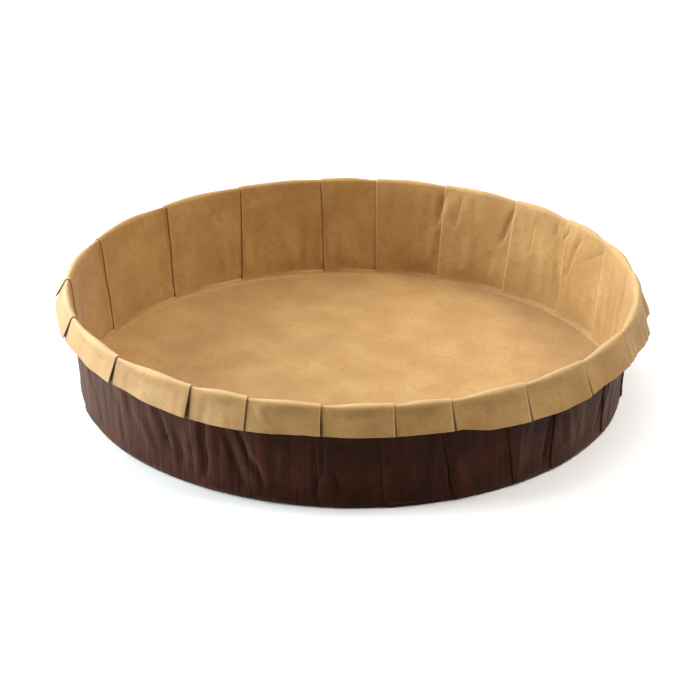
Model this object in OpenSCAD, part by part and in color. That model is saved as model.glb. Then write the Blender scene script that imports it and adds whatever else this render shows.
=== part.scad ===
// Round paper baking mold: one disc of stiff two-tone paper, pleated up into a wall
// and turned over at the rim into a short cuff that shows the inside of the sheet.
// Millimetres, +Z up, origin at the middle of the underside, front towards -Y.

/* [Mold] */
// Width across the foot, where the wall meets the surface that the mold stands on
foot_d = 220.5; // [120:0.5:320]
// Height from the underside to the crest of the rim
mold_h = 45; // [30:0.5:90]
// Lean of the wall away from upright, in degrees
wall_lean = 4.2; // [0:0.1:20]
// Radius of the bend between floor and wall, to the middle of the sheet
foot_bend_r = 1.5; // [1:0.25:8]

/* [Rim] */
// Clear radius inside the roll at the crest of the rim
roll_hollow_r = 0.8; // [0.4:0.1:3]
// Length of the turned-down cuff, from the roll to the hem
cuff_l = 10.5; // [6:0.5:25]
// How far the cuff is longer at one side, and shorter at the other, than cuff_l
cuff_skew = 2.8; // [0:0.2:4]
// Where the cuff is longest, in degrees from the front towards the right
cuff_long_at = 66; // [-180:1:180]
// Lean of the cuff away from upright, in degrees
cuff_lean = 19; // [5:1:45]

/* [Paper] */
// Thickness of the sheet
paper_t = 0.2; // [0.1:0.02:0.4]
// Clear gap between two layers of a pleat
layer_gap = 0.08; // [0.06:0.01:0.3]

/* [Open pleats] */
// Width at the hem of the wedge beside the edge of the most open pleat
gape_w = 1.8; // [0:0.1:4]
// Depth of that wedge at the hem
gape_depth = 1.2; // [0:0.1:3]
// How far the edge of the most open pleat stands off the cuff at the hem
edge_lift = 0.5; // [0:0.1:2]

/* [Hidden] */

// Every pleat, as [angle of its edge at the rim from the front, in degrees towards the
// right, how open it stands at the hem, from 0 to 1, how many degrees its foot lies
// further round than its top, its weight when the spare paper is shared out]
pleats = [
    [-173, 0.2, -0.6, 1], [-154, 0.5, 0.6, 1.1], [-134.5, 0.3, -0.4, 0.9],
    [-111, 0.6, -1.8, 1.1], [-89, 0.7, -0.6, 0.9], [-70, 1, -2, 1], [-49.5, 1, -3.5, 1.2],
    [-30.5, 0.9, -0.8, 0.6], [-19, 0.05, 0.6, 0.7], [-5.5, 0.35, 0.1, 0.4],
    [7.5, 0.1, -0.6, 0.8], [18, 0.35, 2.6, 0.6], [33, 0.25, 0.8, 1.1], [48, 0.5, -4.9, 1.5],
    [63, 0.1, -0.9, 1], [79, 0.4, 0.7, 1.3], [94, 0.3, 0.9, 1.2], [110, 0.5, 0.8, 1],
    [125, 0.1, 0.5, 1], [140.5, 0.4, 1.8, 1.1], [158.5, 0.2, 0.9, 1], [174.5, 0.5, -0.4, 1.1]
];
pleat_count = len(pleats);
pleat_weight = sumof([for (p = pleats) p[3]]);
// Distance between the middles of two layers of a pleat
layer_pitch = paper_t + layer_gap;
// Radius of the roll, to the middle of its outermost layer
roll_r = roll_hollow_r + 2 * layer_pitch + paper_t / 2;
// Shortest run of paper between the two folds of a pleat, at its lower tip
tip_run = 0.3;
// How far before the hidden fold an open pleat starts to lift
lift_run = 1.5;
// How far the hidden layer runs straight on past the pleat's edge, and the rise beside it
under_run = 0.5;
rise_run = 0.4;
// Straight steps that follow the curve of the ring between two pleats
panel_steps = 3;

// Section of the sheet, from the middle of the floor to the hem. The place where the
// middle of the wall, carried down, meets the middle of the floor:
corner_r = foot_d / 2 - paper_t / 2;
floor_z = paper_t / 2;
wall_angle = 90 - wall_lean;
bend_tangent = foot_bend_r * tan(wall_angle / 2);
bend_center = [corner_r - bend_tangent, floor_z + foot_bend_r];
roll_center_z = mold_h - paper_t / 2 - roll_r;
// The wall ends where it touches the roll
wall_top_z = roll_center_z + roll_r * sin(wall_lean);
wall_top_r = corner_r + (wall_top_z - floor_z) * tan(wall_lean);
roll_center_r = wall_top_r + roll_r * cos(wall_lean);
roll_turn = 180 - wall_lean - cuff_lean;
// Length of paper from the middle of the floor to each stage
bend_start_s = bend_center[0];
wall_start_s = bend_start_s + foot_bend_r * wall_angle * PI / 180;
wall_l = (wall_top_z - floor_z) / cos(wall_lean) - bend_tangent;
roll_start_s = wall_start_s + wall_l;

// The rows of the sheet, as [stage, share of that stage, turn of the pleat's folds].
// A pleat opens out from a flat sheet at the foot to folds of half a turn on the wall.
rows = [
    ["floor", 1, 0], ["bend", 0.5, 0], ["bend", 1, 15], ["wall", 0.08, 90], ["wall", 0.15, 150],
    ["wall", 0.24, 180], ["wall", 0.6, 180], ["wall", 1, 180], ["roll", 0.25, 180],
    ["roll", 0.5, 180], ["roll", 0.75, 180], ["cuff", 0, 180], ["cuff", 0.5, 180], ["cuff", 1, 180]
];

function sumof(v) = v * [for (x = v) 1];

// Length of the cuff at an angle from the front
function cuff_length(angle) = cuff_l + cuff_skew * cos(angle - cuff_long_at);

// One place on the section, as [radius, height, slope in degrees, length of paper]
function section(row, angle) =
    let (stage = row[0], share = row[1])
    stage == "floor" ? [bend_start_s * share, floor_z, 0, bend_start_s * share] :
    stage == "bend" ? bend_place(wall_angle * share) :
    stage == "wall" ? wall_place(wall_l * share) :
    stage == "roll" ? roll_place(roll_turn * share) :
    cuff_place(cuff_length(angle) * share);

function bend_place(slope) = [
    bend_center[0] + foot_bend_r * sin(slope),
    bend_center[1] - foot_bend_r * cos(slope),
    slope,
    bend_start_s + foot_bend_r * slope * PI / 180
];

function wall_place(run) =
    let (start = bend_place(wall_angle))
    [start[0] + run * sin(wall_lean), start[1] + run * cos(wall_lean), wall_angle, start[3] + run];

function roll_place(turn) =
    let (slope = wall_angle - turn)
    [
        roll_center_r - roll_r * sin(slope),
        roll_center_z + roll_r * cos(slope),
        slope,
        roll_start_s + roll_r * turn * PI / 180
    ];

function cuff_place(run) =
    let (start = roll_place(roll_turn))
    [start[0] + run * sin(cuff_lean), start[1] - run * cos(cuff_lean), start[2], start[3] + run];

// The section where the cuff has its mean length
function mean_section(row) = section(row, cuff_long_at + 90);

// Share of the way up from the foot to the rim
function rise_share(place) =
    min(1, max(0, (place[3] - bend_start_s) / (roll_start_s - bend_start_s)));

// Paper left over when a ring of the flat disc is drawn in to radius r, shared by the
// pleats: half of a pleat's share is the distance between its two folds
function pleat_run(place, weight) =
    tip_run + max(0, PI * (place[3] - place[0])) * weight / pleat_weight;

// Share of its opening that a pleat has at a row: none above the cuff, all at the hem
function open_share(row) = row[0] == "cuff" ? row[1] : 0;

// The points of one pleat in the plane of the sheet, as [along the ring, towards the inside
// face]: before the edge, edge, under the edge, second fold, under it, past the edge, and
// up again to the next panel. The third of them, hidden_layer, starts the one that runs back.
hidden_layer = 2;
function pleat_path(row, place, pleat) =
    let (
        turn = row[2],
        run = pleat_run(place, pleat[3]),
        opening = pleat[1] * open_share(row),
        lift = [0, edge_lift * opening],
        dip = [0, -gape_depth * opening],
        step = layer_pitch * [cos(turn / 2), -sin(turn / 2)],
        second = step + run * [cos(turn), -sin(turn)],
        under_second = second + step,
        first_x = min(0, second[0]) - lift_run,
        past_x = max(step[0], under_second[0]) + under_run,
        panel_x = past_x + rise_run + gape_w * opening
    )
    [
        [first_x, 0], lift, step + lift, second + dip, under_second + dip,
        [past_x, under_second[1]] + dip, [panel_x, under_second[1]]
    ];

// Angle of a pleat at a row, in degrees
function pleat_angle(place, pleat) = pleat[0] + pleat[2] * (1 - rise_share(place));

// Middle of the sheet all round one row, as [along the ring, towards the inside face].
// The panel between two pleats has panel_steps equal steps.
function ring_path(row) =
    let (
        place = mean_section(row),
        mm_per_degree = place[0] * PI / 180,
        own = [for (p = pleats)
            let (start = [pleat_angle(place, p) * mm_per_degree, 0])
            [for (q = pleat_path(row, place, p)) start + q]
        ],
        last = len(own[0]) - 1
    )
    [for (k = [0 : pleat_count - 1])
        let (
            wraps = k == pleat_count - 1,
            next = own[(k + 1) % pleat_count][0] + [wraps ? 360 * mm_per_degree : 0, 0]
        )
        each concat(own[k], [
            for (j = [1 : panel_steps - 1]) own[k][last] + (next - own[k][last]) * j / panel_steps
        ])
    ];

function unit(v) = v / norm(v);
function left_of(v) = [-v[1], v[0]];

// Points of one face of the sheet at a row: the path moved half a thickness sideways,
// mitred at each corner. side is 1 for the inside face and -1 for the outside face.
function face_path(row, side) =
    let (
        path = ring_path(row),
        n = len(path),
        lap = [2 * PI * mean_section(row)[0], 0]
    )
    [for (i = [0 : n - 1])
        let (
            before = i == 0 ? path[n - 1] - lap : path[i - 1],
            after = i == n - 1 ? path[0] + lap : path[i + 1],
            into = left_of(unit(path[i] - before)),
            out_of = left_of(unit(after - path[i])),
            mitre = unit(into + out_of)
        )
        path[i] + mitre * side * paper_t / 2 / (mitre * into)
    ];

// A point of the flat path, laid onto the section of the mold
function laid(row, point) =
    let (
        angle = point[0] / mean_section(row)[0] * 180 / PI,
        place = section(row, angle),
        r = place[0] - point[1] * sin(place[2])
    )
    [r * sin(angle), -r * cos(angle), place[1] + point[1] * cos(place[2])];

function face_points(row, side) = [for (q = face_path(row, side)) laid(row, q)];

// The folded sheet as one closed skin: the inside face from floor to hem, then the
// outside face back from hem to floor, with the middle of the floor on each face
module folded_sheet() {
    row_count = len(rows);
    inside = [for (row = rows) face_points(row, 1)];
    outside = [for (i = [row_count - 1 : -1 : 0]) face_points(rows[i], -1)];
    rings = concat(inside, outside);
    n = len(rings[0]);
    last = len(rings) - 1;
    top_pole = n * len(rings);
    bottom_pole = top_pole + 1;
    points = concat([for (ring = rings) each ring], [[0, 0, paper_t], [0, 0, 0]]);
    // The outside face is laid from hem to floor, and the hidden layer of a pleat runs
    // backwards. Each splits its faces the other way for that, so that both faces of the
    // sheet, and all the layers of a pleat, twist alike and never cross.
    skin = [for (j = [0 : last - 1], i = [0 : n - 1])
        let (
            a = j * n + i,
            b = j * n + (i + 1) % n,
            is_outside = j >= row_count,
            is_hidden = i % (n / pleat_count) == hidden_layer
        )
        each is_outside != is_hidden
            ? [[a, a + n, b + n], [a, b + n, b]]
            : [[a, a + n, b], [b, a + n, b + n]]
    ];
    top_fan = [for (i = [0 : n - 1]) [top_pole, i, (i + 1) % n]];
    bottom_fan = [for (i = [0 : n - 1]) [bottom_pole, last * n + (i + 1) % n, last * n + i]];
    polyhedron(points, concat(skin, top_fan, bottom_fan), convexity = 10);
}

module paper_mold() {
    color("saddlebrown") folded_sheet();
}

paper_mold();
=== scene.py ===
"""Round paper baking mold, finished for rendering.

The mold is one disc of stiff paper, kraft on one face and printed dark brown on the
other. It is pleated up into a wall and turned over at the rim into a short cuff, so the
cuff shows the kraft face. Here the whole sheet is one closed surface, worked out fold by
fold on a grid: columns run along the ring, in and out of every pleat, and rows run along
the paper from the middle of the floor to the hem. Lengths are millimetres until the
points go into the mesh, and places round the mold are degrees from the front towards
the right.
"""

import bpy
import numpy as np
from mathutils import Matrix, Vector


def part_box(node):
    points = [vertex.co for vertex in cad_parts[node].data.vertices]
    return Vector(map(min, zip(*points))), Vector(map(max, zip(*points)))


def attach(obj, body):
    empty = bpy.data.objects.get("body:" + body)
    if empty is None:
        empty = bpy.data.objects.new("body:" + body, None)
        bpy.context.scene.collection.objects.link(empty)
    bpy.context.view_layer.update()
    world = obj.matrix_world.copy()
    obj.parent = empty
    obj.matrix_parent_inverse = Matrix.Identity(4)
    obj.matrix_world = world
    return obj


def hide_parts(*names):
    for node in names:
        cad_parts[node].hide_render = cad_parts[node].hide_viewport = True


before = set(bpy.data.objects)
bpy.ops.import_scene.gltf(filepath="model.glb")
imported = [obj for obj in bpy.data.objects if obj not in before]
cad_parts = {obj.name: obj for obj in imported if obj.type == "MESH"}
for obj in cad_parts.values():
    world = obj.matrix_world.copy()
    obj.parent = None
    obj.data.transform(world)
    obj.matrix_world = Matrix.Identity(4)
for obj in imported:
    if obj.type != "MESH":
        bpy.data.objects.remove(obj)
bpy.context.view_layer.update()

MM = 0.001
TURN = 2 * np.pi

# Sizes of the sheet, in millimetres, and its two leans away from upright, in radians
MOLD_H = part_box("paper_mold")[1][2] / MM
FOOT_R = 110.25
FOOT_BEND_R = 1.5
WALL_LEAN = np.radians(4.2)
# Clear radius inside the roll of the rim
ROLL_HOLLOW_R = 0.8
# Mean length of the cuff, how much longer it is at one side, and where, in degrees
CUFF_L = 10.5
CUFF_SKEW = 2.8
CUFF_LONG_AT = 66.0
CUFF_LEAN = np.radians(19)
PAPER_T = 0.2
# Clear gap between two layers of a pleat
LAYER_GAP = 0.08
# Width and depth at the hem of the wedge beside a fully open pleat, and how far the
# edge of that pleat stands off the cuff there
GAPE_W = 1.8
GAPE_DEPTH = 0.9
EDGE_LIFT = 0.5
# How far before the hidden fold an open pleat starts to lift
LIFT_RUN = 1.5
# Shortest run of paper between the two folds of a pleat, the run on under its edge, and
# the rise beside it
TIP_RUN = 0.3
UNDER_RUN = 0.15
RISE_RUN = 0.25

# Every pleat: angle of its edge at the rim, how open it stands at the hem from 0 to 1, how
# many degrees its foot lies further round than its top, and its weight when the spare
# paper is shared out
PLEATS = [
    (-173, 0.2, -0.6, 1.0),
    (-154, 0.5, 0.6, 1.1),
    (-134.5, 0.3, -0.4, 0.9),
    (-111, 0.6, -1.8, 1.1),
    (-89, 0.7, -0.6, 0.9),
    (-70, 0.6, -2.0, 1.0),
    (-49.5, 0.8, -3.5, 1.2),
    (-30.5, 0.75, -0.8, 0.6),
    (-19, 0.1, 0.6, 0.7),
    (-5.5, 0.5, 0.1, 0.4),
    (7.5, 0.25, -0.6, 0.8),
    (18, 0.6, 2.6, 0.6),
    (33, 0.6, 0.8, 1.1),
    (48, 0.9, -4.9, 1.5),
    (63, 0.2, -0.9, 1.0),
    (79, 0.4, 0.7, 1.3),
    (94, 0.3, 0.9, 1.2),
    (110, 0.5, 0.8, 1.0),
    (125, 0.1, 0.5, 1.0),
    (140.5, 0.4, 1.8, 1.1),
    (158.5, 0.2, 0.9, 1.0),
    (174.5, 0.5, -0.4, 1.1),
]
PLEAT_ANGLE, PLEAT_OPEN, PLEAT_SLANT, PLEAT_WEIGHT = np.array(PLEATS).T
PLEAT_COUNT = len(PLEATS)
LAYER_PITCH = PAPER_T + LAYER_GAP
ROLL_R = ROLL_HOLLOW_R + 2 * LAYER_PITCH + PAPER_T / 2

# Section of the sheet from the middle of the floor to the hem
CORNER_R = FOOT_R - PAPER_T / 2
FLOOR_Z = PAPER_T / 2
WALL_SLOPE = np.pi / 2 - WALL_LEAN
BEND_TANGENT = FOOT_BEND_R * np.tan(WALL_SLOPE / 2)
BEND_R = CORNER_R - BEND_TANGENT
ROLL_Z = MOLD_H - PAPER_T / 2 - ROLL_R
WALL_TOP_Z = ROLL_Z + ROLL_R * np.sin(WALL_LEAN)
ROLL_TURN = np.pi - WALL_LEAN - CUFF_LEAN
WALL_L = (WALL_TOP_Z - FLOOR_Z) / np.cos(WALL_LEAN) - BEND_TANGENT
# Length of paper from the middle of the floor to the start of each stage
BEND_S = BEND_R
WALL_S = BEND_S + FOOT_BEND_R * WALL_SLOPE
ROLL_S = WALL_S + WALL_L
CUFF_S = ROLL_S + ROLL_R * ROLL_TURN
HEM_S = CUFF_S + CUFF_L + CUFF_SKEW


def smooth(x):
    """Smooth step: 0 below 0, 1 above 1, and 3x² - 2x³ between."""
    x = np.clip(x, 0, 1)
    return x * x * (3 - 2 * x)


def bump(x):
    """Smooth hump: exp(-x²)."""
    return np.exp(-x * x)


# How much longer or shorter the cuff hangs than its even skew, as (angle, millimetres)
HEM_TRIM = [
    (-150, 0.2), (-128, -0.4), (-100, 0.3), (-80, -0.2), (-60, 0.2), (-46, 0.0), (-37, 0.7),
    (-26, 0.8), (-16, 0.0), (-8, -1.3), (0, -1.2), (8, -1.7), (20, -2.1), (25, -0.3),
    (34, 0.0), (42, 0.3), (48, -0.6), (56, -1.4), (64, -1.3), (76, -0.4), (90, 0.2),
    (104, -0.3), (120, 0.3), (140, -0.3), (165, 0.2),
]
TRIM_ANGLE, TRIM_L = np.array(HEM_TRIM).T


def cuff_length(angle):
    """Length of the cuff at an angle: its mean, a cosine that is largest at CUFF_LONG_AT,
    and the small unevenness of the hem."""
    skew = CUFF_SKEW * np.cos(np.radians(angle - CUFF_LONG_AT))
    return CUFF_L + skew + np.interp(angle, TRIM_ANGLE, TRIM_L, period=360)


def section(s):
    """Radius, height and slope of the sheet at paper length s: a straight floor, an arc, a
    straight wall, the arc of the rolled rim, and the straight cuff."""
    slope = np.clip((s - BEND_S) / FOOT_BEND_R, 0, WALL_SLOPE)
    turn = np.clip((s - ROLL_S) / ROLL_R, 0, ROLL_TURN)
    on_wall = np.clip(s - WALL_S, 0, WALL_L)
    on_cuff = np.maximum(s - CUFF_S, 0)
    r = np.minimum(s, BEND_S) + FOOT_BEND_R * np.sin(slope) + on_wall * np.sin(WALL_LEAN)
    z = FLOOR_Z + FOOT_BEND_R * (1 - np.cos(slope)) + on_wall * np.cos(WALL_LEAN)
    roll_slope = WALL_SLOPE - turn
    r = r + ROLL_R * (np.sin(WALL_SLOPE) - np.sin(roll_slope)) + on_cuff * np.sin(CUFF_LEAN)
    z = z + ROLL_R * (np.cos(roll_slope) - np.cos(WALL_SLOPE)) - on_cuff * np.cos(CUFF_LEAN)
    return r, z, slope - turn


# The UV map is the flat disc, twice: the kraft face in its left half and the brown face in
# its right half. Its side is this long, and these are the middles of the two.
MAP_L = 4.2 * HEM_S
KRAFT_MIDDLE = (0.25, 0.5)
BROWN_MIDDLE = (0.75, 0.5)

# Rows of the grid: for each, the paper length where the stage is the same all round, and
# the share of the cuff's length, which varies round the rim
FLOOR_ROWS = BEND_S * np.array([0.30, 0.60, 0.82, 0.94, 1.0])
BEND_ROWS = BEND_S + (WALL_S - BEND_S) * np.linspace(0, 1, 6)[1:]
WALL_ROWS = WALL_S + WALL_L * np.linspace(0, 1, 25)[1:] ** 1.3
ROLL_ROWS = ROLL_S + (CUFF_S - ROLL_S) * np.linspace(0, 1, 9)[1:]
ROW_S = np.concatenate([FLOOR_ROWS, BEND_ROWS, WALL_ROWS, ROLL_ROWS, np.full(10, CUFF_S)])
ROW_CUFF = np.concatenate([np.zeros(len(ROW_S) - 10), np.linspace(0, 1, 11)[1:]])
ROW_COUNT = len(ROW_S)

# A pleat's folds turn by half a turn on the wall, and open out to nothing at the foot.
# The least turn isn't 0, because fold_arc divides by it.
FOLD_START_L = 2.0
LEAST_TURN = 1e-4
FOLD_TURN = np.pi * np.maximum(smooth((ROW_S - WALL_S) / FOLD_START_L), LEAST_TURN)
FOLD_ARC = np.pi * LAYER_PITCH / 2
ROW_MEAN_S = ROW_S + ROW_CUFF * CUFF_L
ROW_R = section(ROW_MEAN_S)[0]
# Share of the way down from the rim to the foot, for the slant of the pleats
ROW_LOW = 1 - np.clip((ROW_S - BEND_S) / (ROLL_S - BEND_S), 0, 1)
# Paper left over when a ring of the flat disc is drawn in, shared by the pleats
ROW_SPARE = np.maximum(0, np.pi * (ROW_MEAN_S - ROW_R))

# Steps along a panel, along each fold of a pleat, and along its hidden layer
PANEL_STEPS = 28
ARC_STEPS = 4
LAYER_STEPS = 3
# How far the steps of a panel are crowded towards its two ends
CROWDING = 0.06
# Shortest run over which a panel climbs from under the last pleat
CLIMB_L = 3
# Smallest cosine that a mitre of the sheet's faces is worked out for
MITRE_LIMIT = 0.5
# How far the cut edge bulges, as a share of the last row of the cuff
EDGE_BULGE = 0.07
# Bends sharper than this are shaded as folds
SHARP_ANGLE = np.radians(38)


def fold_arc(turn, share):
    """Along and across a fold of fixed paper length that turns away by turn radians."""
    angle = turn * share
    return FOLD_ARC * np.sin(angle) / turn, -FOLD_ARC * (1 - np.cos(angle)) / turn


def ring_lines():
    """Middle of the sheet along every row, as arrays (row, pleat, step) of the place along
    the ring from the pleat's edge and the height towards the inside face, then the painted
    shade of each step, by how deep in a fold it lies, and the painted highlight near the tip
    of a fold, on each face. A pleat is an arc back at its edge, a straight hidden layer, an
    arc forward, a straight run under the edge, a short rise, and then the panel to the next
    edge. Where it stands open, the hidden layers dip and the rise moves away from the edge,
    so that a wedge opens between the two."""
    turn = FOLD_TURN[:, None, None]
    weight = PLEAT_WEIGHT[None, :, None] / PLEAT_WEIGHT.sum()
    run = TIP_RUN + ROW_SPARE[:, None, None] * weight
    next_run = np.roll(run, -1, axis=1)
    gap = np.roll(PLEAT_ANGLE, -1) - PLEAT_ANGLE
    gap[-1] += 360
    slant = np.roll(PLEAT_SLANT, -1) - PLEAT_SLANT
    width = np.radians(gap[None] + slant[None] * ROW_LOW[:, None]) * ROW_R[:, None]
    width = width[..., None]
    opening = ROW_CUFF[:, None, None] * PLEAT_OPEN[None, :, None]
    next_opening = np.roll(opening, -1, axis=1)

    arc = np.linspace(0, 1, ARC_STEPS + 1)[None, None]
    flat = np.linspace(0, 1, LAYER_STEPS + 1)[None, None, 1:-1]
    first_x, first_h = fold_arc(turn, arc)
    end_x, end_h = first_x[..., -1:], first_h[..., -1:]
    layer_x, layer_h = end_x + run * flat * np.cos(turn), end_h - run * flat * np.sin(turn)
    back_x, back_h = end_x + run * np.cos(turn), end_h - run * np.sin(turn)
    second_x = back_x + FOLD_ARC * (np.sin(turn) - np.sin(turn * (1 - arc))) / turn
    second_h = back_h - FOLD_ARC * (np.cos(turn * (1 - arc)) - np.cos(turn)) / turn
    out_x, out_h = second_x[..., -1:], second_h[..., -1:]
    past_x = np.maximum(end_x, out_x) + UNDER_RUN
    panel_x = past_x + RISE_RUN + GAPE_W * opening

    dip, lift = GAPE_DEPTH * opening, EDGE_LIFT * opening
    first_h = first_h + lift
    layer_h = layer_h + lift * (1 - flat) - dip * flat
    second_h = second_h - dip
    under_share = np.array([0.5, 1.0])[None, None]
    under_x = out_x + (past_x - out_x) * under_share
    under_h = out_h - dip + 0 * under_share
    rise_share = np.array([0.92, 1.0])[None, None]
    rise_x = past_x + (panel_x - past_x) * rise_share
    rise_h = out_h - dip * (1 - rise_share)

    share = np.linspace(0, 1, PANEL_STEPS + 1)[None, None, 1:-1]
    share = share - CROWDING * np.sin(TURN * share)
    along_x = panel_x + (width - panel_x) * share
    lead = next_run + LIFT_RUN
    climb = smooth((along_x - panel_x) / np.maximum(width - lead - panel_x, CLIMB_L))
    along_h = out_h * (1 - climb)
    next_lift = EDGE_LIFT * next_opening
    along_h = along_h + next_lift * smooth((along_x - width + lead) / lead)

    shape = (ROW_COUNT, PLEAT_COUNT)

    def joined(*parts):
        return np.concatenate([np.broadcast_to(p, shape + p.shape[2:]) for p in parts], axis=2)

    x = joined(first_x, layer_x, second_x, under_x, rise_x, along_x)
    h = joined(first_h, layer_h, second_h, under_h, rise_h, along_h)
    folded = smooth((FOLD_TURN / np.pi - 0.5) * 2)[:, None, None]
    # Amounts of painted shade: dark is full on folded paper, and bright is none
    dark, bright = folded + 0 * arc, 0 * arc
    # Painted shade on the run under the edge, where the pleat stands open, and on the rim and
    # cuff
    under = np.maximum(opening, 0.9 * smooth((ROW_S - ROLL_S) / (CUFF_S - ROLL_S))[:, None, None])
    kraft_fold_shade = joined(
        bright, folded + 0 * flat, dark, np.maximum(folded * np.array([1.0, 0.0]), under),
        under * np.array([1.0, 0.75]), 0 * along_x,
    )
    # Painted shade on the brown face where the next pleat laps over it
    covered = smooth((along_x - width + next_run) / 1.5) * folded
    brown_fold_shade = joined(dark, folded + 0 * flat, bright, 0 * under_x, 0 * rise_x, covered)
    # Painted highlight at the tips of the folds: on the kraft face at the fold of the edge, on
    # the brown face at the fold behind it
    tip = folded * np.array([1.0, 1.0, 0.6, 0, 0])
    kraft_tip_highlight = joined(tip, 0 * flat, 0 * arc, 0 * under_x, 0 * rise_x, 0 * along_x)
    brown_tip_highlight = joined(0 * arc, 0 * flat, tip[..., ::-1], 0 * under_x, 0 * rise_x, 0 * along_x)
    return x, h, (kraft_fold_shade, brown_fold_shade), (kraft_tip_highlight, brown_tip_highlight)


def face_lines(angle, h, side):
    """One face of the sheet: the middle line of each row moved half a thickness sideways,
    square to the line and mitred where the line turns."""
    along = np.radians(angle) * ROW_R[:, None]
    lap = TURN * ROW_R[:, None]
    before_x = np.concatenate([along[:, -1:] - lap, along[:, :-1]], axis=1)
    after_x = np.concatenate([along[:, 1:], along[:, :1] + lap], axis=1)
    before_h, after_h = np.roll(h, 1, axis=1), np.roll(h, -1, axis=1)

    def left_of(dx, dh):
        size = np.hypot(dx, dh)
        return -dh / size, dx / size

    in_x, in_h = left_of(along - before_x, h - before_h)
    out_x, out_h = left_of(after_x - along, after_h - h)
    mid_x, mid_h = in_x + out_x, in_h + out_h
    size = np.hypot(mid_x, mid_h)
    mid_x, mid_h = mid_x / size, mid_h / size
    reach = side * PAPER_T / 2 / np.maximum(mid_x * in_x + mid_h * in_h, MITRE_LIMIT)
    return np.degrees((along + mid_x * reach) / ROW_R[:, None]), h + mid_h * reach


# Creases of the sheet, each as (half width, depth, lean, its line from the top down as
# pairs of angle and height). A positive depth is a valley on the brown face and a ridge
# on the kraft face. A positive lean makes the flank on the right the wider one.
# Sharp folds of the wall, which also get lines of painted shade
WALL_FOLDS = [
    (1.2, 0.55, 0.3, [(-65.0, 30), (-64.7, 21), (-62.7, 18), (-61.5, 8), (-60.3, 4)]),
    (1.3, 0.85, 0.5, [(-41.2, 31), (-38.9, 20.7), (-37.8, 12)]),
    (1.4, 0.90, -0.6, [(-28.7, 31), (-29.0, 20.8), (-28.5, 15), (-28.8, 7.7), (-30.8, 1)]),
    (1.3, 0.75, 0.4, [(-22.3, 31), (-20.5, 22.8), (-19.4, 17.6), (-18.7, 12.5)]),
    (1.3, 0.65, 0.3, [(-18.3, 17), (-17.2, 10.5), (-16.6, 1)]),
    (0.9, 0.35, 0.0, [(-5.2, 32), (-5.2, 15)]),
    (1.1, 0.50, -0.4, [(-5.3, 15), (-6.2, 11.5), (-6.9, 4)]),
    (1.1, 0.50, 0.4, [(-3.9, 16.5), (-2.7, 12.9), (-2.2, 7.7), (-0.8, 1)]),
    (1.0, 0.40, 0.0, [(-2.8, 28), (0.4, 25.5)]),
    (1.1, 0.60, 0.3, [(17.9, 31), (18.2, 22), (18.9, 14.6), (19.6, 0)]),
    (1.3, 0.85, -0.3, [(42.3, 29), (41.9, 18.3), (41.4, 8.9), (41.6, 1)]),
    (1.2, 0.55, -0.3, [(62.6, 26), (60.6, 15.4), (58.3, 5)]),
]
# Soft drapes of the wall
WALL_DRAPES = [
    (2.2, 0.35, 0.0, [(-71.5, 30), (-70.5, 8)]),
    (1.9, 0.50, 0.4, [(-52.5, 27), (-51.7, 16.3), (-51.4, 2)]),
    (1.8, 0.35, 0.0, [(-55.4, 30), (-52.6, 20)]),
    (1.8, 0.45, 0.2, [(-49.2, 30), (-48.2, 19)]),
    (1.9, -0.40, 0.5, [(-46.4, 22), (-43.5, 15), (-41.2, 6)]),
    (1.7, 0.55, 0.3, [(-44.2, 30), (-43.1, 21), (-41.9, 13.7), (-41.0, 4)]),
    (1.6, -0.50, 0.3, [(-38.0, 24), (-37.1, 16.9), (-36.3, 4)]),
    (2.0, 0.45, 0.0, [(-36.0, 22), (-34.2, 10)]),
    (2.0, -0.45, -0.3, [(-30.8, 27), (-32.9, 15)]),
    (1.3, 0.40, 0.0, [(-25.9, 31), (-26.0, 25), (-25.6, 16)]),
    (1.7, 0.70, 0.3, [(-25.0, 30), (-24.0, 23), (-23.1, 18.5), (-21.9, 12), (-20.9, 5)]),
    (2.2, -0.40, 0.0, [(-12.2, 26), (-13.9, 11)]),
    (2.2, -0.40, 0.0, [(-7.4, 23), (-9.6, 12.6), (-10.5, 4)]),
    (2.4, 0.30, 0.0, [(3.4, 24), (4.2, 4)]),
    (1.8, 0.30, 0.0, [(8.4, 30), (9.3, 3)]),
    (2.0, -0.40, 0.0, [(20.7, 20), (21.2, 11.2), (23.2, 1)]),
    (2.4, 0.30, 0.0, [(25.0, 26), (25.5, 6)]),
    (2.0, 0.35, 0.0, [(30.4, 27), (30.6, 12)]),
    (1.8, -0.35, 0.0, [(34.1, 24), (34.0, 7)]),
    (1.8, 0.30, 0.0, [(37.6, 25), (37.0, 5)]),
    (1.8, 0.40, 0.0, [(44.6, 27), (46.4, 11)]),
    (1.6, -0.40, 0.0, [(47.4, 23), (48.0, 9)]),
    (1.7, 0.55, 0.2, [(47.6, 27), (49.8, 17), (51.5, 7)]),
    (1.8, 0.50, 0.0, [(54.0, 23), (54.8, 5)]),
    (1.6, -0.40, 0.0, [(63.4, 24), (61.2, 13)]),
    (1.8, 0.45, 0.0, [(65.6, 22), (65.0, 4)]),
    (1.7, 0.55, 0.2, [(71.0, 18), (67.8, 1)]),
    (1.8, 0.45, 0.0, [(75.0, 24), (74.0, 4)]),
    (2.0, 0.45, 0.0, [(83.0, 25), (84.5, 4)]),
]
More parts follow.
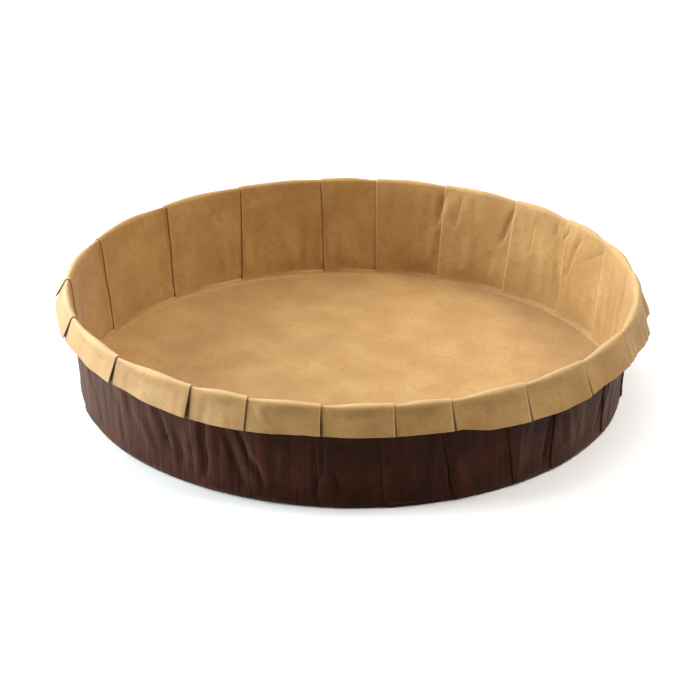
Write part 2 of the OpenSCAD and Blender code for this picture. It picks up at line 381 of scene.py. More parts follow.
# Creases of the inner wall at the back, most of them grooves on the kraft face
INNER_FOLDS = [
    (1.1, -0.40, 0.0, [(-109.8, 44), (-112.5, 8)]),
    (1.1, -0.45, 0.0, [(-133.6, 44), (-134.6, 6)]),
    (1.1, -0.50, 0.0, [(-145.0, 43), (-148.0, 31)]),
    (1.1, -0.40, 0.0, [(-149.5, 39), (-147.6, 33)]),
    (1.3, 0.45, 0.0, [(-165.0, 37), (-153.0, 33)]),
    (1.0, -0.35, 0.0, [(-172.8, 44), (-173.8, 8)]),
    (1.7, -0.75, 0.0, [(158.0, 43), (160.4, 26)]),
    (1.5, -0.55, 0.0, [(154.2, 43), (155.7, 27)]),
    (1.2, -0.35, 0.0, [(151.3, 44), (151.3, 30)]),
    (1.0, -0.70, 0.3, [(140.0, 44), (141.2, 38), (143.6, 24)]),
    (0.9, -0.45, 0.0, [(133.8, 42), (135.0, 36), (135.8, 24)]),
    (0.9, -0.55, 0.0, [(128.1, 44), (128.3, 36)]),
    (0.9, -0.55, 0.0, [(123.3, 44), (125.4, 36)]),
    (1.0, -0.70, 0.3, [(119.4, 41), (121.5, 33), (123.6, 20)]),
    (0.9, -0.55, 0.0, [(108.8, 45), (112.4, 38), (117.6, 32)]),
    (0.9, -0.50, 0.0, [(96.8, 41), (97.1, 26)]),
    (1.6, -0.30, 0.0, [(103.0, 40), (104.5, 18)]),
]
# Creases of the cuff, with heights above the hem. Here a positive depth stands out.
CUFF_FOLDS = [
    (1.0, 0.60, 0.4, [(-17.9, 12), (-15.6, 5), (-13.4, -2)]),
    (0.7, -0.25, 0.0, [(-43.3, 9), (-41.7, 1)]),
    (0.9, -0.30, 0.0, [(13.6, 12), (14.0, 4)]),
    (0.9, -0.40, 0.2, [(56.2, 8), (57.6, 2)]),
    (0.9, -0.50, -0.3, [(76.4, 13), (78.6, 5)]),
    (1.0, 0.50, 0.2, [(82.0, 12), (84.4, 1)]),
    (0.9, -0.55, 0.0, [(88.5, 13), (87.0, 2)]),
    (0.9, -0.45, 0.0, [(98.6, 11), (101.0, 3)]),
    (0.9, 0.35, 0.0, [(-101.0, 8), (-98.5, 1)]),
    (0.8, -0.30, 0.0, [(-143.0, 9), (-145.0, 2)]),
    (0.9, -0.40, 0.0, [(147.0, 9), (149.5, 1)]),
]


# Rubbed reddish places of the brown face: angle, height, half width and half height
RUBBED = [
    (-29.5, 3, 1.6, 2.5), (-0.6, 15, 1.2, 4), (3.7, 13.4, 1.4, 4), (6.9, 13.2, 1.6, 5),
    (12.2, 14.9, 2.2, 5), (26.0, 17.5, 2.6, 6), (21.2, 15, 1.6, 4), (22.2, 8, 1.8, 5),
    (-9.5, 8, 1.6, 6), (-17.5, 24, 1.6, 5), (31.5, 20, 2.0, 5), (38.5, 16, 1.4, 5),
]


# Span of the wall that faces away in the photograph
HIDDEN_SPAN = (92, 282)


def hidden_drapes(count, seed):
    """Random drapes of the same kind for the hidden span of the wall."""
    draw = np.random.default_rng(seed)
    drapes = []
    for angle in np.linspace(*HIDDEN_SPAN, count):
        top = (angle + draw.uniform(-2, 2), draw.uniform(20, 31))
        low = (top[0] + draw.uniform(-3, 3), draw.uniform(2, 12))
        depth = draw.uniform(0.3, 0.6) * draw.choice([-1, 1, 1])
        drapes.append((draw.uniform(1.4, 2.3), depth, draw.uniform(-0.4, 0.4), [top, low]))
    return drapes


# Longest run over which a crease fades out at an end
CREASE_FADE_L = 4.0
# Half width of the strip beside a crease where its line of painted shade is known, the depth
# that gives a line of full strength, and the distance given where there is no crease
LINE_REACH, LINE_DEPTH, NO_LINE = 1.3, 0.6, 3.0


def crease_field(angle, z, creases, groove=1):
    """Depth of a list of creases at each point, in millimetres, with the signed distance
    across the nearest groove of them and how near it is, from 0 to 1. Across a crease the
    depth is a hump, and along it the depth fades in and out at the ends. A crease whose
    depth has the sign of groove is a groove, which gets a line of painted shade, and the
    others have no line."""
    depth = np.zeros_like(angle)
    across_nearest = np.full_like(angle, NO_LINE)
    nearness = np.zeros_like(angle)
    for half_width, deep, lean, line in creases:
        line_angle, line_z = np.array(line[::-1], float).T
        x = angle - np.interp(z, line_z, line_angle)
        x = (np.mod(x + 180, 360) - 180) * np.radians(CORNER_R)
        drop = line_z[-1] - line_z[0]
        tilt = np.radians(CORNER_R) * (line_angle[-1] - line_angle[0]) / drop
        across = x / np.hypot(1, tilt)
        fade = min(CREASE_FADE_L, 0.4 * drop)
        ends = smooth((z - line_z[0]) / fade + 0.5) * smooth((line_z[-1] - z) / fade + 0.5)
        width = half_width * (1 + 0.7 * lean * np.sign(across))
        depth += deep * ends * bump(across / width)
        near = ends * bump(across / LINE_REACH) * np.clip(deep * groove / LINE_DEPTH, 0, 1)
        closer = near > nearness
        nearness = np.where(closer, near, nearness)
        across_nearest = np.where(closer, across, across_nearest)
    return depth, across_nearest, nearness


def rubbed_places(angle, z):
    """Sum of the soft spots listed in RUBBED, at most 1."""
    total = np.zeros_like(angle)
    for at, height, half_width, half_height in RUBBED:
        x = (np.mod(angle - at + 180, 360) - 180) * np.radians(CORNER_R)
        total += bump(np.hypot(x / half_width, (z - height) / half_height))
    return np.minimum(total, 1)


def waves(angle, z, count, low, high, tilt, seed):
    """A sum of sine waves round the mold, each with a whole number of periods between low
    and high, a random phase and a random tilt along the height."""
    draw = np.random.default_rng(seed)
    total = np.zeros_like(angle)
    for _ in range(count):
        periods = draw.integers(low, high)
        total += np.sin(
            np.radians(angle) * periods + z * draw.uniform(-tilt, tilt) + draw.uniform(0, TURN)
        )
    return total / np.sqrt(count / 2)


def panel_sag(angle):
    """1 in the middle of the panel between two pleats, and 0 at the pleats."""
    edge = np.append(PLEAT_ANGLE, PLEAT_ANGLE[0] + 360)
    place = np.interp(np.mod(angle - edge[0], 360) + edge[0], edge, np.arange(len(edge)))
    return np.sin(np.pi * (place % 1)) ** 2


# Where the cuff is crumpled the most, and where it stands off the wall a little more
CRUMPLED_AT = 88
FLARED_AT = -92


def sheet_relief(angle, s, cuff_share):
    """Height of the crumples, ripples and creases towards the inside face, and where the
    creases get lines of painted shade on the brown and on the kraft face. The floor is left
    flat, the wall is creased the most, and the rim and cuff are rippled, the cuff most on
    the right."""
    z = section(s)[1]
    up_wall = smooth((s - WALL_S - 1) / 7)
    on_wall = up_wall * (1 - smooth((s - ROLL_S + 5) / 5))
    on_rim = smooth((s - ROLL_S + 8) / 8)
    on_cuff = smooth(cuff_share * 3)
    folds, fold_across, fold_near = crease_field(angle, z, WALL_FOLDS)
    drapes = crease_field(angle, z, WALL_DRAPES + hidden_drapes(count=34, seed=11))[0]
    inner, inner_across, inner_near = crease_field(angle, z, INNER_FOLDS, -1)
    above_hem = (1 - cuff_share) * cuff_length(angle)
    cuff, cuff_across, cuff_near = crease_field(angle, above_hem, CUFF_FOLDS, -1)

    relief = on_wall * (folds + drapes + inner)
    # Slow and quick crumples of the wall
    slow = waves(angle, z, count=5, low=18, high=50, tilt=0.03, seed=3)
    relief += on_wall * (0.25 + 0.12 * slow)
    relief += on_wall * 0.06 * waves(angle, z, count=6, low=60, high=130, tilt=0.12, seed=4)
    # The middle of each panel lies further in than the pleats, on the cuff too
    relief += up_wall * (0.25 + 0.25 * on_rim) * panel_sag(angle) * (1 - 2 * on_cuff)
    # Ripples of the rim, and slow and quick ones of the cuff
    relief += on_rim * 0.10 * waves(angle, z, count=4, low=8, high=30, tilt=0.02, seed=5)
    crumpled = 1 + 2.2 * bump((angle - CRUMPLED_AT) / 14)
    slow = waves(angle, z, count=5, low=20, high=60, tilt=0.05, seed=6)
    quick = waves(angle, z, count=6, low=70, high=150, tilt=0.2, seed=7)
    relief += cuff_share * 0.14 * crumpled * slow
    relief += on_cuff * 0.045 * crumpled * quick
    relief += on_cuff * cuff
    relief += cuff_share * 1.3 * bump((angle - FLARED_AT) / 20)

    # Where the creases get lines of painted shade, and how strong: the wall's on the brown face,
    # the inner wall's and cuff's on the kraft face
    use_cuff = cuff_near * on_cuff > inner_near * on_wall
    lines = [
        fold_across,
        fold_near * on_wall,
        np.where(use_cuff, cuff_across, inner_across),
        np.where(use_cuff, cuff_near * on_cuff * 0.6, inner_near * on_wall),
    ]
    return relief, lines


def laid(angle, h, cuff_share):
    """Points of the flat lines laid onto the section of the mold, with its relief."""
    s = ROW_S[:, None] + cuff_share * cuff_length(angle)
    relief, lines = sheet_relief(angle, s, cuff_share)
    r, z, slope = section(s)
    out = h + relief
    r = r - out * np.sin(slope)
    z = z + out * np.cos(slope)
    turn = np.radians(angle)
    points = np.stack([r * np.sin(turn), -r * np.cos(turn), z], axis=-1)
    return points, lines


def edge_angles(x):
    """Angle of every step of every row: that of its pleat, with the pleat's slant on the
    wall, plus the place along the ring."""
    start = PLEAT_ANGLE[None] + PLEAT_SLANT[None] * ROW_LOW[:, None]
    return start[..., None] + np.degrees(x / ROW_R[:, None, None])


def flat_places(angle, h):
    """Place of every point on the flat disc: its paper length from the middle, and its
    share of the way round, measured along the folded line of its row."""
    along = np.radians(angle) * ROW_R[:, None]
    step_x = np.diff(along, axis=1, append=along[:, :1] + TURN * ROW_R[:, None])
    step_h = np.diff(h, axis=1, append=h[:, :1])
    length = np.cumsum(np.hypot(step_x, step_h), axis=1)
    share = np.concatenate([np.zeros((ROW_COUNT, 1)), length[:, :-1]], axis=1)
    round_place = np.radians(PLEAT_ANGLE[0]) + TURN * share / length[:, -1:]
    s = ROW_S[:, None] + ROW_CUFF[:, None] * cuff_length(angle)
    return np.stack([s * np.sin(round_place), -s * np.cos(round_place)], axis=-1)


def build_sheet():
    """The folded sheet as one closed skin: the kraft face from the floor to the hem, a row
    round the cut edge, and the brown face back to the floor, with a fan at each middle."""
    x, h, fold_shade, fold_tip_highlight = ring_lines()
    rows = (ROW_COUNT, -1)
    angle = edge_angles(x).reshape(rows)
    h = h.reshape(rows)
    share = np.broadcast_to(ROW_CUFF[:, None], h.shape)
    kraft, lines = laid(*face_lines(angle, h, 1), share)
    brown, _ = laid(*face_lines(angle, h, -1), share)
    flat = flat_places(angle, h)

    edge = (kraft[-1:] + brown[-1:]) / 2
    edge = edge + (edge - (kraft[-2:-1] + brown[-2:-1]) / 2) * EDGE_BULGE
    rings = np.concatenate([kraft, edge, brown[::-1]])
    flats = np.concatenate([flat, flat[-1:], flat[::-1]])
    ring_count, n = rings.shape[:2]
    points = np.concatenate([rings.reshape(-1, 3), [[0, 0, PAPER_T], [0, 0, 0]]])

    ring, step = np.meshgrid(np.arange(ring_count - 1), np.arange(n), indexing="ij")
    following = (step + 1) % n
    a, b = ring * n + step, ring * n + following
    # Both faces of the sheet are split along the same diagonal, so that they keep their
    # distance. The hidden layers, which run back, take the other one.
    hidden = (step % x.shape[2] >= ARC_STEPS) & (step % x.shape[2] < ARC_STEPS + LAYER_STEPS)
    swap = ((ring > ROW_COUNT) != hidden)[..., None, None]
    one_way = np.stack([np.stack([a, a + n, b], -1), np.stack([b, a + n, b + n], -1)], axis=-2)
    other_way = np.stack([np.stack([a, a + n, b + n], -1), np.stack([a, b + n, b], -1)], axis=-2)
    skin = np.where(swap, other_way, one_way).reshape(-1, 3)
    around = np.arange(n)
    after = (around + 1) % n
    top = np.stack([np.full(n, ring_count * n), around, after], axis=-1)
    last = (ring_count - 1) * n
    bottom = np.stack([np.full(n, ring_count * n + 1), last + after, last + around], axis=-1)

    # Material slots: 0 for the kraft face, 1 for the brown face, 2 for the cut edge
    ring_slot = np.full(ring_count - 1, 2)
    ring_slot[: ROW_COUNT - 1] = 0
    ring_slot[ROW_COUNT + 1 :] = 1
    slots = np.concatenate([np.repeat(ring_slot, 2 * n), np.zeros(n, int), np.ones(n, int)])

    def on_faces(kraft_values, brown_values):
        """Values of the two faces in the order of the points."""
        whole = np.concatenate([kraft_values, kraft_values[-1:], brown_values[::-1]]).ravel()
        return np.concatenate([whole, kraft_values[0, :1], brown_values[0, :1]])

    s = ROW_S[:, None] + share * cuff_length(angle)
    # The strip of painted highlight, just past the crest of the rim
    rim = bump((s - (ROLL_S + ROLL_R * ROLL_TURN * 0.6)) / 0.9)
    wall_across, wall_near, inner_across, inner_near = lines
    # Painted shade in the folds, painted highlight at the tips of the folds and along the rim,
    # and where the creases get lines of painted shade
    attributes = {
        "fold_shade": on_faces(*(values.reshape(rows) for values in fold_shade)),
        "fold_tip_highlight": on_faces(*(values.reshape(rows) for values in fold_tip_highlight)),
        "rim": on_faces(rim, rim),
        "rubbed": on_faces(0 * rim, rubbed_places(angle, section(s)[1]) * (s < ROLL_S)),
        "crease_across": on_faces(inner_across, wall_across),
        "crease_near": on_faces(inner_near, wall_near),
    }
    flats = np.concatenate([flats.reshape(-1, 2), np.zeros((2, 2))])
    return points, np.concatenate([skin, top, bottom]), slots, flats, attributes


def new_sheet_object(name, materials):
    """Puts the arrays of build_sheet into a mesh, with the flat disc as its UV map: the
    kraft face lies in the left half of the map and the brown face in the right half."""
    points, triangles, slots, flats, attributes = build_sheet()
    mesh = bpy.data.meshes.new(name)
    mesh.from_pydata((points * MM).tolist(), [], triangles.tolist())
    mesh.polygons.foreach_set("material_index", slots.astype(np.int32))
    mesh.polygons.foreach_set("use_smooth", np.ones(len(slots), bool))
    mesh.set_sharp_from_angle(angle=SHARP_ANGLE)
    for material in materials:
        mesh.materials.append(material)

    corner = np.zeros(len(mesh.loops), np.int32)
    mesh.loops.foreach_get("vertex_index", corner)
    on_brown = np.repeat(slots, 3)[:, None] == 1
    place = flats[corner] / MAP_L + np.where(on_brown, BROWN_MIDDLE, KRAFT_MIDDLE)
    mesh.uv_layers.new(name="flat").data.foreach_set("uv", place.ravel())
    for label, values in attributes.items():
        mesh.attributes.new(label, "FLOAT", "POINT").data.foreach_set("value", values)
    mesh.update()
    piece = bpy.data.objects.new(name, mesh)
    bpy.context.scene.collection.objects.link(piece)
    return piece


# Materials


class Nodes:
    """Short way to write a node tree: add a node, set its inputs, and link them."""

    def __init__(self, tree):
        self.tree = tree

    def add(self, kind, inputs=None, **settings):
        node = self.tree.nodes.new(kind)
        for key, value in settings.items():
            setattr(node, key, value)
        for key, value in (inputs or {}).items():
            if isinstance(value, bpy.types.NodeSocket):
                self.tree.links.new(value, node.inputs[key])
            else:
                node.inputs[key].default_value = value
        return node

    def math(self, operation, a, b=0.0, c=0.0):
        return self.add("ShaderNodeMath", {0: a, 1: b, 2: c}, operation=operation).outputs[0]

    def vector(self, operation, a, b=(0, 0, 0)):
        return self.add("ShaderNodeVectorMath", {0: a, 1: b}, operation=operation).outputs[0]

    def fade(self, value, low, high, at_low=0.0, at_high=1.0):
        """Smooth step from at_low, up to the value low, to at_high, from the value high."""
        ends = {"From Min": low, "From Max": high, "To Min": at_low, "To Max": at_high}
        node = self.add(
            "ShaderNodeMapRange", {"Value": value, **ends}, interpolation_type="SMOOTHSTEP"
        )
        return node.outputs[0]

    def mix(self, factor, a, b):
        """Colour a where the factor is 0, and colour b where it is 1."""
        node = self.add("ShaderNodeMix", data_type="RGBA")
        for key, value in (("Factor_Float", factor), ("A_Color", a), ("B_Color", b)):
            socket = next(i for i in node.inputs if i.identifier == key)
            if isinstance(value, bpy.types.NodeSocket):
                self.tree.links.new(value, socket)
            else:
                socket.default_value = value
        return next(o for o in node.outputs if o.identifier == "Result_Color")

    def noise(self, vector, scale, detail=3.0, roughness=0.55):
        node = self.add(
            "ShaderNodeTexNoise",
            {"Vector": vector, "Scale": scale, "Detail": detail, "Roughness": roughness},
        )
        return node.outputs["Fac"]


def srgb(red, green, blue):
    """Colour from 0 to 255 values to the linear values that a shader takes."""
    c = np.array([red, green, blue]) / 255
    linear = np.where(c <= 0.04045, c / 12.92, ((c + 0.055) / 1.055) ** 2.4)
    return (*linear.tolist(), 1.0)


def new_group(name, inputs, outputs):
    """An empty shader node group with the named sockets."""
    group = bpy.data.node_groups.new(name, "ShaderNodeTree")
    for label, kind, value in inputs:
        socket = group.interface.new_socket(label, in_out="INPUT", socket_type=kind)
        if value is not None:
            socket.default_value = value
    for label, kind in outputs:
        group.interface.new_socket(label, in_out="OUTPUT", socket_type=kind)
    nodes = Nodes(group)
    return group, nodes, nodes.add("NodeGroupInput").outputs, nodes.add("NodeGroupOutput").inputs


FLOAT, VECTOR = "NodeSocketFloat", "NodeSocketVector"
# Angle of the machine direction of the paper on the flat disc: its ribs run up the wall
# at about this angle from the front, and slant across it elsewhere
RIB_ANGLE = 40.0


def paper_fibre_group():
    """Fibres and ribs of machine-made paper, from the place on the flat disc in
    millimetres: long fine streaks along the machine direction, fine even ribs, a soft
    cloudiness where the fibres lie thicker, and a fine grain."""
    group, nodes, given, wanted = new_group(
        "paper fibre",
        [("Flat mm", VECTOR, None), ("Rib spacing", FLOAT, 1.1)],
        [("Streaks", FLOAT), ("Ribs", FLOAT), ("Clouds", FLOAT), ("Grain", FLOAT)],
    )
    turned = nodes.add(
        "ShaderNodeVectorRotate",
        {"Vector": given["Flat mm"], "Angle": np.radians(90 - RIB_ANGLE)},
        rotation_type="Z_AXIS",
    ).outputs[0]
    streaks = nodes.noise(nodes.vector("MULTIPLY", turned, (0.25, 1, 1)), 1.5, 4.0, 0.65)
    wander = nodes.noise(turned, 0.06, 2.0)
    across = nodes.add("ShaderNodeSeparateXYZ", {0: turned}).outputs["Y"]
    across = nodes.math("ADD", across, nodes.math("MULTIPLY", wander, 5.0))
    phase = nodes.math("DIVIDE", across, given["Rib spacing"])
    ribs = nodes.math("SINE", nodes.math("MULTIPLY", phase, TURN))
    ribs = nodes.math("MULTIPLY_ADD", ribs, 0.5, 0.5)
    nodes.tree.links.new(streaks, wanted["Streaks"])
    nodes.tree.links.new(ribs, wanted["Ribs"])
    nodes.tree.links.new(nodes.noise(given["Flat mm"], 0.055, 4.0, 0.6), wanted["Clouds"])
    nodes.tree.links.new(nodes.noise(given["Flat mm"], 2.2, 5.0, 0.7), wanted["Grain"])
    return group


def flat_mm(nodes, middle):
    """Place on the flat disc in millimetres, from the UV map and the middle of its disc."""
    uv = nodes.add("ShaderNodeUVMap", uv_map="flat").outputs[0]
    start = (-middle[0] * MAP_L, -middle[1] * MAP_L, 0)
    return nodes.add(
        "ShaderNodeMapping", {"Vector": uv, "Location": start, "Scale": (MAP_L, MAP_L, MAP_L)}
    ).outputs[0]


def up_the_wall(nodes):
    """A place in millimetres for noise that is drawn out up the wall: round the foot as it
    is, and along the height shrunk. Next to it, 1 on the wall and 0 on the floor."""
    point = nodes.add("ShaderNodeTexCoord").outputs["Object"]
    level = nodes.vector("MULTIPLY", point, (1, 1, 0))
    way = nodes.vector("MULTIPLY", nodes.vector("NORMALIZE", level), (FOOT_R, FOOT_R, 0))
    shrink = 0.11
    lift = nodes.vector("MULTIPLY", point, (0, 0, shrink / MM))
    out = nodes.add("ShaderNodeVectorMath", {0: level}, operation="LENGTH").outputs["Value"]
    on_wall = nodes.fade(out, (FOOT_R - 2) * MM, FOOT_R * MM)
    return nodes.vector("ADD", way, lift), on_wall


def wrinkles(nodes):
    """Fine wrinkles up the wall, as a height between 0 and 1, which is 1 on the floor."""
    way, on_wall = up_the_wall(nodes)
    height = nodes.fade(nodes.noise(way, 0.4, 3.0, 0.55), 0.34, 0.58)
    return nodes.math("MULTIPLY_ADD", nodes.math("SUBTRACT", height, 1.0), on_wall, 1.0)


def attribute(nodes, name):
    """Values of an attribute of the mesh."""
    return nodes.add("ShaderNodeAttribute", attribute_name=name).outputs["Fac"]


def crease_line(nodes, half_width):
    """Where a crease gets its line of painted shade: 1 on the line and 0 beside it, from the
    distance across the crease.
    """
    across = nodes.math("ABSOLUTE", attribute(nodes, "crease_across"))
    line = nodes.fade(across, half_width * 0.4, half_width, 1.0, 0.0)
    return nodes.math("MULTIPLY", line, nodes.fade(attribute(nodes, "crease_near"), 0.1, 0.9))


def new_material(name):
    """A material with an empty node tree, and the means to write it."""
    material = bpy.data.materials.new(name)
    material.use_nodes = True
    material.node_tree.nodes.clear()
    return material, Nodes(material.node_tree)


SHADER_INPUTS = {
    "sheen_weight": "Sheen Weight",
    "sheen_roughness": "Sheen Roughness",
    "sheen_tint": "Sheen Tint",
    "specular_tint": "Specular Tint",
}


def paper_height(nodes, out, ribs, grain):
    """Height of the streaks, ribs and grain of the paper together."""
    height = nodes.math("MULTIPLY", out["Streaks"], 0.5)
    height = nodes.math("ADD", height, nodes.math("MULTIPLY", out["Ribs"], ribs))
    return nodes.math("ADD", height, nodes.math("MULTIPLY", out["Grain"], grain))


def finish_material(nodes, color, roughness, normal, **settings):
    """Ends a node tree with its shader. The settings are keys of SHADER_INPUTS."""
    shader = nodes.add("ShaderNodeBsdfPrincipled", {"Base Color": color, "Roughness": roughness})
    nodes.tree.links.new(normal, shader.inputs["Normal"])
    for key, value in settings.items():
        shader.inputs[SHADER_INPUTS[key]].default_value = value
    nodes.add("ShaderNodeOutputMaterial", {"Surface": shader.outputs[0]})


def kraft_material(fibre):
    """Uncoated natural kraft: warm tan with darker clouds, toasted and mottled places, fine
    streaks, faint ribs and specks. It has a painted highlight along the rim and at the tips
    of the folds, and painted shade in the folds and along sharp creases."""
    material, nodes = new_material("kraft face")
    place = flat_mm(nodes, KRAFT_MIDDLE)
    paper = nodes.add("ShaderNodeGroup", node_tree=fibre)
    nodes.tree.links.new(place, paper.inputs["Flat mm"])
    out = paper.outputs
    clouds = nodes.fade(out["Clouds"], 0.35, 0.68)
    color = nodes.mix(clouds, srgb(170, 128, 70), srgb(188, 149, 89))
    toasted = nodes.fade(nodes.noise(place, 0.11, 5.0, 0.6), 0.50, 0.72, 0.0, 0.35)
    color = nodes.mix(toasted, color, srgb(150, 109, 60))
    streaks = nodes.fade(out["Streaks"], 0.42, 0.66, 0.0, 0.22)
    color = nodes.mix(streaks, color, srgb(156, 116, 66))
    ribs = nodes.math("MULTIPLY", out["Ribs"], 0.14)
    color = nodes.mix(ribs, color, srgb(146, 107, 59))
    mottled = nodes.fade(nodes.noise(place, 0.45, 4.0, 0.7), 0.48, 0.70, 0.0, 0.4)
    color = nodes.mix(mottled, color, srgb(142, 102, 54))
    specks = nodes.fade(out["Grain"], 0.62, 0.74, 0.0, 0.3)
    color = nodes.mix(specks, color, srgb(130, 86, 43))
    # Painted highlight: a paler strip just past the crest of the rim
    rim = nodes.math("MULTIPLY", attribute(nodes, "rim"), 0.4)
    color = nodes.mix(rim, color, srgb(218, 188, 138))
    # Painted highlight at the tips of the folds
    tip = nodes.math("MULTIPLY", attribute(nodes, "fold_tip_highlight"), 0.25)
    color = nodes.mix(tip, color, srgb(224, 196, 148))
    # Painted shade: a dark line along sharp creases
    crease_shade = nodes.math("MULTIPLY", crease_line(nodes, 0.36), 0.5)
    color = nodes.mix(crease_shade, color, srgb(92, 56, 24))
    # Painted shade in the folds and in the hidden layers of the pleats
    hidden = nodes.math("MULTIPLY", attribute(nodes, "fold_shade"), 0.85)
    color = nodes.mix(hidden, color, srgb(58, 30, 12))

    height = paper_height(nodes, out, ribs=0.22, grain=0.25)
    normal = nodes.add(
        "ShaderNodeBump", {"Height": height, "Strength": 0.35, "Distance": 0.12 * MM}
    ).outputs[0]
    roughness = nodes.fade(out["Grain"], 0.3, 0.7, 0.58, 0.72)
    finish_material(nodes, color, roughness, normal, sheen_weight=0.3, sheen_roughness=0.4)
    return material


def brown_material(fibre):
    """Dark brown print on the same paper: nearly black brown with clouds, streaks, ribs,
    fine wrinkles and reddish rubbed places. It has a painted highlight at the tips of the
    folds, and painted shade in the folds, along sharp creases and in the fine wrinkles."""
    material, nodes = new_material("brown printed face")
    place = flat_mm(nodes, BROWN_MIDDLE)
    paper = nodes.add("ShaderNodeGroup", node_tree=fibre)
    nodes.tree.links.new(place, paper.inputs["Flat mm"])
    out = paper.outputs
    clouds = nodes.fade(out["Clouds"], 0.32, 0.70)
    color = nodes.mix(clouds, srgb(50, 24, 15), srgb(65, 32, 20))
    streaks = nodes.fade(out["Streaks"], 0.45, 0.70, 0.0, 0.35)
    color = nodes.mix(streaks, color, srgb(78, 42, 28))
    rubbed = nodes.fade(nodes.noise(up_the_wall(nodes)[0], 0.22, 5.0, 0.65), 0.55, 0.75)
    rubbed = nodes.math("MULTIPLY_ADD", rubbed, 0.4, attribute(nodes, "rubbed"))
    worn = nodes.fade(out["Grain"], 0.3, 0.7, 0.3, 0.75)
    color = nodes.mix(nodes.math("MULTIPLY", rubbed, worn), color, srgb(92, 43, 29))
    # Painted highlight at the tips of the folds
    tip = nodes.math("MULTIPLY", attribute(nodes, "fold_tip_highlight"), 0.2)
    color = nodes.mix(tip, color, srgb(104, 60, 42))
    # Painted shade: a dark line along sharp creases
    crease_shade = nodes.math("MULTIPLY", crease_line(nodes, 0.5), 0.6)
    color = nodes.mix(crease_shade, color, srgb(18, 8, 6))
    fine = wrinkles(nodes)
    # Painted shade in the grooves of the fine wrinkles
    color = nodes.mix(nodes.fade(fine, 0.0, 0.8, 0.2, 0.0), color, srgb(20, 9, 6))
    # Painted shade in the folds and in the hidden layers of the pleats
    hidden = nodes.math("MULTIPLY", attribute(nodes, "fold_shade"), 0.8)
    color = nodes.mix(hidden, color, srgb(22, 10, 7))

    height = paper_height(nodes, out, ribs=0.2, grain=0.2)
    normal = nodes.add(
        "ShaderNodeBump", {"Height": height, "Strength": 0.6, "Distance": 0.12 * MM}
    ).outputs[0]
    normal = nodes.add(
        "ShaderNodeBump",
        {"Height": fine, "Strength": 0.5, "Distance": 0.22 * MM, "Normal": normal},
    ).outputs[0]
    roughness = nodes.fade(out["Grain"], 0.3, 0.7, 0.48, 0.62)
    finish_material(
        nodes, color, roughness, normal, specular_tint=(0.12, 0.08, 0.06, 1),
        sheen_weight=0.14, sheen_roughness=0.5, sheen_tint=(1.0, 0.6, 0.42, 1),
    )
    return material


def edge_material():
    """The cut edge of the paper, paler and rougher than either face."""
    material, nodes = new_material("cut edge")
    place = nodes.add("ShaderNodeTexCoord").outputs["Object"]
    grain = nodes.noise(place, 2500.0, 2.0)
    color = nodes.mix(grain, srgb(190, 148, 96), srgb(222, 186, 134))
    normal = nodes.add(
        "ShaderNodeBump", {"Height": grain, "Strength": 0.3, "Distance": 0.05 * MM}
    ).outputs[0]
    finish_material(nodes, color, nodes.fade(grain, 0.3, 0.7, 0.8, 0.92), normal)
    return material


# Studio


def brighter_to_camera(nodes, usual, seen):
    """A value that is one number for the camera and another for the light that the surface
    sends on, with gloss half way between the two."""
    path = nodes.add("ShaderNodeLightPath").outputs
    share = nodes.math("MULTIPLY_ADD", path["Is Glossy Ray"], 0.5, path["Is Camera Ray"])
    return nodes.math("MULTIPLY_ADD", share, seen - usual, usual)


def build_floor():
    """A wide floor, lit a little past white, so that only the near shadow shows on it."""
    size, drop = 6.0, 0.02 * MM
    corners = [(-size, -size, 0), (size, -size, 0), (size, size, 0), (-size, size, 0)]
    mesh = bpy.data.meshes.new("floor")
    mesh.from_pydata(corners, [], [(0, 1, 2, 3)])
    floor = bpy.data.objects.new("floor", mesh)
    bpy.context.scene.collection.objects.link(floor)
    floor.location.z = -drop
    material, nodes = new_material("studio floor")
    white = brighter_to_camera(nodes, usual=0.4, seen=1.08)
    diffuse = nodes.add("ShaderNodeBsdfDiffuse", {"Color": white}).outputs[0]
    nodes.add("ShaderNodeOutputMaterial", {"Surface": diffuse})
    mesh.materials.append(material)


def build_world():
    """Even surroundings, which the camera sees as white and which give little light."""
    light = 0.02
    world = bpy.data.worlds.new("studio")
    world.use_nodes = True
    world.node_tree.nodes.clear()
    nodes = Nodes(world.node_tree)
    seen = nodes.add("ShaderNodeLightPath").outputs["Is Camera Ray"]
    strength = nodes.math("MULTIPLY_ADD", seen, 1 - light, light)
    back = nodes.add("ShaderNodeBackground", {"Color": (1, 1, 1, 1), "Strength": strength})
    nodes.add("ShaderNodeOutputWorld", {"Surface": back.outputs[0]})
    bpy.context.scene.world = world


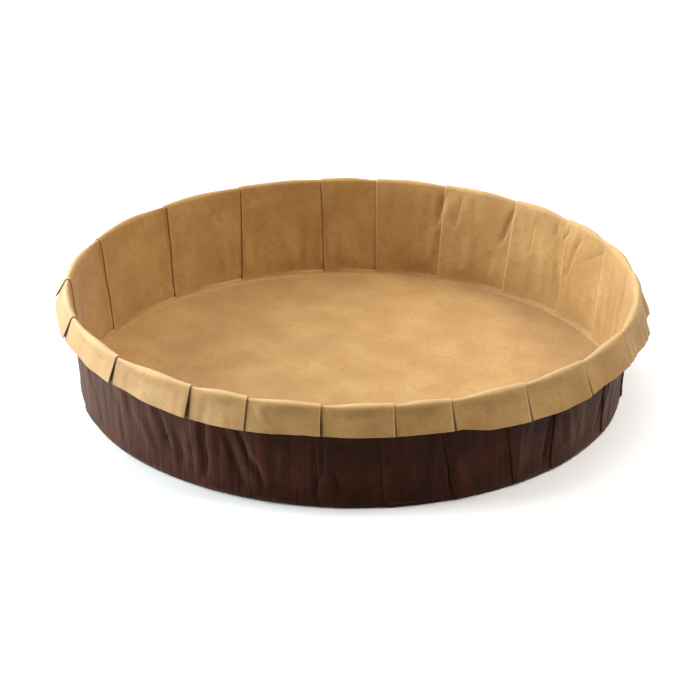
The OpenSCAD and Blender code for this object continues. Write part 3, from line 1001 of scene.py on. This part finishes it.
# Lamps: name, place and size in metres, power in watts, and colour
LAMPS = [
    ("key", (-1.3, 0.04, 0.5), (1.1, 1.0), 41, (0.92, 0.98, 1.0)),
    ("rear left", (-0.9, 1.0, 0.6), (1.0, 0.8), 11, (0.90, 0.97, 1.0)),
    ("right", (1.0, -0.3, 1.3), (0.8, 0.8), 22, (1.0, 0.96, 0.91)),
    ("top", (0, 0.4, 1.5), (1.6, 1.6), 15.5, (1.0, 0.98, 0.96)),
]
LAMP_TARGET = (0, 0, 0.02)


def aim(obj, target):
    """Turns a lamp or camera to look at a place."""
    direction = Vector(target) - obj.location
    obj.rotation_euler = direction.to_track_quat("-Z", "Y").to_euler()


def build_lamp(name, location, size, power, color):
    """A rectangular lamp that is aimed at the mold."""
    lamp = bpy.data.lights.new(name, "AREA")
    lamp.shape = "RECTANGLE"
    lamp.size, lamp.size_y = size
    lamp.energy = power
    lamp.color = color
    obj = bpy.data.objects.new(name, lamp)
    bpy.context.scene.collection.objects.link(obj)
    obj.location = location
    aim(obj, LAMP_TARGET)


def build_camera():
    """The photograph's view: 25.8 degrees above the floor, 0.9 m from the middle of the
    underside, aimed a little above it."""
    distance, elevation = 0.9, np.radians(25.8)
    target, tilt = (-0.0006, 0, 0.0129), np.radians(0.37)
    camera = bpy.data.cameras.new("camera")
    camera.sensor_width = 36.0
    camera.lens = 112.06
    camera.clip_start = 0.01
    obj = bpy.data.objects.new("camera", camera)
    bpy.context.scene.collection.objects.link(obj)
    obj.location = (0, -distance * np.cos(elevation), distance * np.sin(elevation))
    aim(obj, target)
    roll = Matrix.Rotation(tilt, 4, "Z")
    obj.rotation_euler = (obj.rotation_euler.to_matrix().to_4x4() @ roll).to_euler()
    bpy.context.scene.camera = obj


fibre = paper_fibre_group()
materials = [kraft_material(fibre), brown_material(fibre), edge_material()]
mold = new_sheet_object("paper_sheet", materials)
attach(mold, "root")
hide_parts("paper_mold")

build_floor()
build_world()
for lamp in LAMPS:
    build_lamp(*lamp)
build_camera()
bpy.context.scene.view_settings.view_transform = "Standard"
